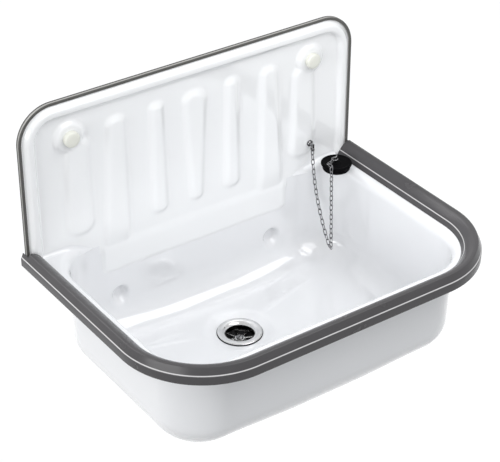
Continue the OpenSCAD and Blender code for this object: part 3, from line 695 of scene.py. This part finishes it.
STRIP_LIP = 1.7
STRIP_SECTION = [
    (0.3, 0.0, 1.0), (0, 1.3, 0.5), (0.5, 2.1, 0.3), (0.5, 3.3, 0.3), (0, 4.1, 0.5), (0.3, 5.4, 1.0),
    (4.5, 5.4, 0.6), (4.5, 3.7, 0.3), (1.0, 3.7, 0.2), (1.0, 1.7, 0.2), (4.5, 1.7, 0.3), (4.5, 0.0, 0.6),
]


def make_edge_strip():
    """Draws the U section up one side of the backsplash, over the top and down the other."""
    section = rounded(STRIP_SECTION, 0.3)
    corner_x, corner_z = BACK_HALF - BACK_CORNER, BACK_TOP - BACK_CORNER
    places = [(BACK_HALF - s, FACE_Y - STRIP_LIP + y, FLANGE_Z) for s, y in section]
    strip = ring_of("backsplash_edge_strip", places)
    draw_on((0, 0, corner_z - FLANGE_Z))
    turn_on(90, (corner_x, 0, corner_z), (0, 1, 0), 24)
    draw_on((-2 * corner_x, 0, 0))
    turn_on(90, (-corner_x, 0, corner_z), (0, 1, 0), 24)
    draw_on((0, 0, FLANGE_Z - corner_z))
    close_ends(strip)
    soften(strip, 40)
    dress(strip, ["back_trim"], "sink", STRIP)


# Small parts

def turned(name, outline, centre, steps, axis=(0, 0, 1)):
    """Spins a closed outline of (radius, height) points, in millimetres, into a full ring."""
    centre, axis = Vector(centre), Vector(axis)
    places = [centre + Vector((r, 0, 0)) + axis * h for r, h in outline]
    piece = ring_of(name, places)
    turn_on(360, centre, axis, steps)
    bpy.ops.mesh.select_all(action="SELECT")
    bpy.ops.mesh.remove_doubles(threshold=0.004 * MM)
    bpy.ops.mesh.normals_make_consistent(inside=False)
    bpy.ops.object.mode_set(mode="OBJECT")
    return piece


def join_pieces(first, others):
    """Joins the other pieces into the first."""
    select_only(first)
    for piece in others:
        piece.select_set(True)
    bpy.ops.object.join()


def spokes(name, section, count, first, height, inner, outer):
    """Straight arms of one section round the drain's axis, in millimetres; first angle in degrees."""
    arms = []
    for i in range(count):
        angle = math.radians(360 / count * i + first)
        along = Vector((math.cos(angle), math.sin(angle), 0))
        across = Vector((-math.sin(angle), math.cos(angle), 0))
        start = Vector((0, DRAIN_Y, height)) + along * inner
        arm = ring_of(name, [start + across * u + Vector((0, 0, v)) for u, v in section])
        draw_on(along * (outer - inner))
        close_ends(arm)
        arms.append(arm)
    return arms


# Radius of the hair-thin bore that a turned piece keeps along its axis
AXLE = 0.03
BOSS_Y = FACE_Y - BOSS_RISE


def make_caps():
    """Two domed plastic caps over the wall screws, hollow behind."""
    outline = rounded([(AXLE, 6.5, 0), (9.0, 6.5, 0.4), (9.0, 0.0, 0.1), (9.6, 0.0, 0.1), (9.6, 1.1, 0.1),
                       (10.5, 1.3, 0.3), (10.5, 6.8, 2.4), (6.5, 8.0, 4), (AXLE, 8.0, 0)], 0.3, 6)
    for side, word in ((-1, "left"), (1, "right")):
        cap = turned("screw_cap_" + word + "_dome", outline, (side * SCREW_X, BOSS_Y, 0), 64, (0, -1, 0))
        soften(cap, 40)
        dress(cap, ["screw_cap_" + word], "sink", CREAM)


PLUG_X, PLUG_Y, PLUG_FOOT = 204.0, -44.2, FLANGE_Z + 0.3


def make_plug():
    """Turned rubber plug: tapered body, a lip under the head, and a shallow dish on top."""
    outline = rounded([(AXLE, 0, 0), (16.5, 0, 0.6), (18.5, 1.2, 1.0), (19.3, 7.0, 0.4), (20.4, 7.6, 0.6),
                       (21.0, 8.3, 0.6), (21.0, 10.4, 0.7), (20.2, 11.0, 0.8), (18.2, 11.0, 0.5),
                       (17.2, 10.5, 0.6), (6.5, 10.5, 0.8), (5.5, 10.98, 0.6), (AXLE, 10.98, 0)], 0.3, 5)
    plug = turned("rubber_plug", outline, (PLUG_X, PLUG_Y, PLUG_FOOT), 96)
    soften(plug, 40)
    dress(plug, ["plug"], "plug", RUBBER)


SEAL_TOP = SEAT_Z + 1.0
GRID_Z, GRID_H = SEAL_TOP - 9.0, 2.5
CUP_R, THROAT_R, FLANGE_R = 20.3, 18.7, 30.0
HUB_BORE, HUB_R = 3.4, 6.5
BAR_COUNT, BAR_FIRST, BAR_HALF, BAR_START, BAR_END = 8, 22.5, 1.7, 5.8, THROAT_R + 0.6


def make_strainer():
    """Polished waste: a rolled flange, a throat, and eight bars round a hub, all one casting."""
    top = SEAL_TOP
    outline = rounded([(THROAT_R, GRID_Z - GRID_H, 0.4), (CUP_R, GRID_Z - GRID_H, 0.3), (CUP_R, top, 0.2),
                       (FLANGE_R, top, 0.2), (FLANGE_R, top + 1.3, 0.9), (FLANGE_R - 1.6, top + 2.0, 1.2),
                       (FLANGE_R - 5.5, top + 1.9, 2.5), (THROAT_R + 2.6, top + 0.9, 2.0),
                       (THROAT_R, top - 1.8, 1.6)], 0.3, 6)
    cup = turned("strainer_flange", outline, (0, DRAIN_Y, 0), 128)
    low = GRID_Z - GRID_H
    hub_outline = rounded([(HUB_BORE, low), (HUB_R, low), (HUB_R, GRID_Z), (HUB_BORE, GRID_Z)], 0.5)
    hub = turned("strainer_hub", hub_outline, (0, DRAIN_Y, 0), 48)
    section = rounded([(-BAR_HALF, -GRID_H), (BAR_HALF, -GRID_H),
                       (BAR_HALF, 0, 1.1), (-BAR_HALF, 0, 1.1)], 0.4)
    bars = spokes("strainer_bar", section, BAR_COUNT, BAR_FIRST, GRID_Z, BAR_START, BAR_END)
    join_pieces(cup, [hub] + bars)
    soften(cup, 40)
    dress(cup, ["strainer_cup"], "sink", STAINLESS)


def make_flange_seal():
    """Black sealing ring, squeezed out a little round the strainer's flange."""
    inner = HOLE_R - 1.4
    outline = rounded([(inner, SEAT_Z, 0.1), (FLANGE_R + 0.7, SEAT_Z, 0.1),
                       (FLANGE_R + 0.9, SEAT_Z + 0.5, 0.3), (FLANGE_R + 0.4, SEAT_Z + 1.3, 0.3),
                       (FLANGE_R - 0.3, SEAL_TOP, 0.1), (inner, SEAL_TOP, 0.1)], 0.1, 3)
    seal = turned("flange_sealing_ring", outline, (0, DRAIN_Y, 0), 128)
    soften(seal, 40)
    dress(seal, ["flange_seal"], "sink", RUBBER)


SCREW_TOP, SLOT_TURN, SLOT_SIZE = 2.4, 28, (12.0, 1.1, 2.0)


def make_strainer_screw():
    """Round-headed screw down through the strainer's hub, with a slot cut across its head."""
    outline = rounded([(AXLE, -12.5, 0), (3.0, -12.5, 0.3), (3.0, 0.01, 0.1), (5.0, 0.01, 0.3),
                       (4.9, 1.2, 0.6), (3.6, SCREW_TOP, 1.2), (AXLE, SCREW_TOP, 0)], 0.3, 5)
    screw = turned("strainer_screw_slotted", outline, (0, DRAIN_Y, GRID_Z), 64)
    bpy.ops.object.select_all(action="DESELECT")
    bpy.ops.mesh.primitive_cube_add(size=1, location=(0, DRAIN_Y * MM, (GRID_Z + SCREW_TOP) * MM),
                                    rotation=(0, 0, math.radians(SLOT_TURN)))
    blade = bpy.context.object
    blade.scale = [side * MM for side in SLOT_SIZE]
    bpy.ops.object.transform_apply(location=True, rotation=True, scale=True)
    apply_modifier(screw, "BOOLEAN", operation="DIFFERENCE", object=blade, solver="EXACT")
    bpy.data.objects.remove(blade)
    soften(screw, 35)
    dress(screw, ["strainer_screw"], "sink", PLATED)


BODY_TOP, BODY_LOW, TAIL_LOW = -313.0, -324.5, -364.5
TAIL_R, TAIL_BORE, BODY_BORE, BODY_R = 20.95, 18.0, 20.7, 25.0
THREAD_TURNS, THREAD_PITCH, THREAD_ROOT = 15, 2.3, TAIL_R - 1.1
ARM_COUNT, ARM_FIRST, ARM_START, ARM_END = 3, 90, 5.2, TAIL_BORE + 0.8


def make_waste_body():
    """Moulded waste body: a flanged head, a tail ringed like a thread and a three-armed boss inside."""
    rows = [(BODY_BORE, BODY_TOP, 0.3), (FLANGE_R, BODY_TOP, 0.6), (FLANGE_R, BODY_TOP - 3, 0.9),
            (BODY_R, BODY_TOP - 5, 1.5), (BODY_R, BODY_LOW, 1.0), (THREAD_ROOT, BODY_LOW, 0.2)]
    for i in range(THREAD_TURNS):
        high = BODY_LOW - 2.0 - THREAD_PITCH * i
        rows += [(THREAD_ROOT, high, 0.15), (TAIL_R, high - 0.75, 0.15), (TAIL_R, high - 1.15, 0.15),
                 (THREAD_ROOT, high - 1.9, 0.15)]
    rows += [(THREAD_ROOT, TAIL_LOW, 0.5), (TAIL_BORE, TAIL_LOW, 0.5), (TAIL_BORE, BODY_LOW + 2, 0.5),
             (BODY_BORE, BODY_LOW + 4, 0.5)]
    body = turned("waste_body_moulding", rounded(rows, 0.3, 3), (0, DRAIN_Y, 0), 96)
    boss_outline = [(3.3, BODY_LOW - 3), (6.0, BODY_LOW - 3), (6.0, BODY_LOW + 5), (3.3, BODY_LOW + 5)]
    boss = turned("waste_boss", rounded(boss_outline, 0.5), (0, DRAIN_Y, 0), 48)
    section = rounded([(-1.5, -3), (1.5, -3), (1.5, 1), (-1.5, 1)], 0.5)
    arms = spokes("waste_arm", section, ARM_COUNT, ARM_FIRST, BODY_LOW, ARM_START, ARM_END)
    join_pieces(body, [boss] + arms)
    soften(body, 40)
    dress(body, ["waste_body"], "sink", GREY)


def add_painted_light_bands():
    """Painted highlights, bright lines on the edge strip and on the rim's crease, and painted shade, a dark
    band in the strainer's throat.
    """
    # Painted highlight: a bright line along the outer face of the edge strip.
    tint_band(STRIP, "Y", FACE_Y - 1.5, FACE_Y + 1.5, (0.34, 0.335, 0.32))
    # Painted highlight: a bright line along the rim trim's edge between its outer face and its slope.
    tint_band(TRIM, "Z", FLANGE_Z + 6.3, FLANGE_Z + 7.2, (0.62, 0.61, 0.61))
    # Painted shade: a dark band on the inner wall of the strainer's throat.
    tint_band(STAINLESS, "Z", SEAL_TOP - 8.4, SEAL_TOP - 2.2, (0.02, 0.02, 0.02))


# Studio

SKY, SKY_STRENGTH = (0.95, 0.975, 1, 1), 0.7
FLOOR_SIDE, FLOOR_PLACE = 40, (8, 10, -0.9)
FLOOR_BOUNCE, FLOOR_SEEN, FLOOR_GLOW = 0.09, 0.5, 0.5


def softbox(name, place, aim, size, watts):
    """A square lamp, in metres, aimed at a point."""
    data = bpy.data.lights.new(name, "AREA")
    data.size, data.energy = size, watts
    lamp = bpy.data.objects.new(name, data)
    lamp.location = place
    lamp.rotation_euler = (Vector(place) - Vector(aim)).to_track_quat("Z", "Y").to_euler()
    bpy.context.scene.collection.objects.link(lamp)


def sun(name, towards, strength, spread):
    """A soft lamp far off in the given direction, so that it lights floor and sink evenly."""
    data = bpy.data.lights.new(name, "SUN")
    data.energy = strength
    data.angle = math.radians(spread)
    lamp = bpy.data.objects.new(name, data)
    lamp.rotation_euler = Vector(towards).to_track_quat("Z", "Y").to_euler()
    lamp.location = towards
    bpy.context.scene.collection.objects.link(lamp)


def seen_directly(nodes, links):
    """1 for rays from the camera, off a gloss or through glass, and 0 for light that falls on the sink."""
    path = nodes.new("ShaderNodeLightPath")
    total = path.outputs["Is Camera Ray"]
    for kind in ("Is Glossy Ray", "Is Transmission Ray"):
        add = nodes.new("ShaderNodeMath")
        add.operation, add.use_clamp = "ADD", True
        links.new(total, add.inputs[0])
        links.new(path.outputs[kind], add.inputs[1])
        total = add.outputs[0]
    return total


def set_studio():
    """White background, a floor that is white but for the sink's shadow, and four soft lamps."""
    scene = bpy.context.scene
    scene.view_settings.view_transform = "Standard"
    scene.world = world = bpy.data.worlds.new("studio")
    world.use_nodes = True
    nodes, links = world.node_tree.nodes, world.node_tree.links
    sky, white = nodes["Background"], nodes.new("ShaderNodeBackground")
    pick = nodes.new("ShaderNodeMixShader")
    sky.inputs["Color"].default_value = SKY
    sky.inputs["Strength"].default_value = SKY_STRENGTH
    links.new(seen_directly(nodes, links), pick.inputs["Fac"])
    links.new(sky.outputs[0], pick.inputs[1])
    links.new(white.outputs[0], pick.inputs[2])
    links.new(pick.outputs[0], nodes["World Output"].inputs["Surface"])
    softbox("overhead", (0.45, -0.6, 0.9), (0, -0.12, -0.15), 0.7, 5.0)
    softbox("front", (0, -0.95, 0.8), (0, -0.05, -0.1), 0.7, 3.2)
    sun("left", (-1, -0.22, 0.05), 2.2, 45)
    sun("rear", (-0.35, 0.69, 0.55), 1.45, 45)
    bpy.ops.mesh.primitive_plane_add(size=FLOOR_SIDE, location=FLOOR_PLACE)
    floor = bpy.context.object
    floor.name = "floor"
    material, shader, nodes, links = new_material("pale_floor", (FLOOR_SEEN,) * 3, 1.0, Specular_IOR_Level=0)
    seen, colour, glow = seen_directly(nodes, links), nodes.new("ShaderNodeMix"), nodes.new("ShaderNodeMath")
    colour.data_type = "RGBA"
    colour.inputs["A"].default_value = (*(FLOOR_BOUNCE,) * 3, 1)
    colour.inputs["B"].default_value = (*(FLOOR_SEEN,) * 3, 1)
    links.new(seen, colour.inputs["Factor"])
    links.new(colour.outputs["Result"], shader.inputs["Base Color"])
    glow.operation = "MULTIPLY"
    glow.inputs[1].default_value = FLOOR_GLOW
    links.new(seen, glow.inputs[0])
    links.new(glow.outputs[0], shader.inputs["Emission Strength"])
    shader.inputs["Emission Color"].default_value = (1, 1, 1, 1)
    floor.data.materials.append(material)


finish_nodes()
add_painted_light_bands()
make_backsplash()
make_bowl()
make_rim_trim()
make_edge_strip()
make_caps()
make_plug()
make_strainer()
make_flange_seal()
make_strainer_screw()
make_waste_body()
bpy.ops.object.select_all(action="DESELECT")
set_studio()
set_camera()
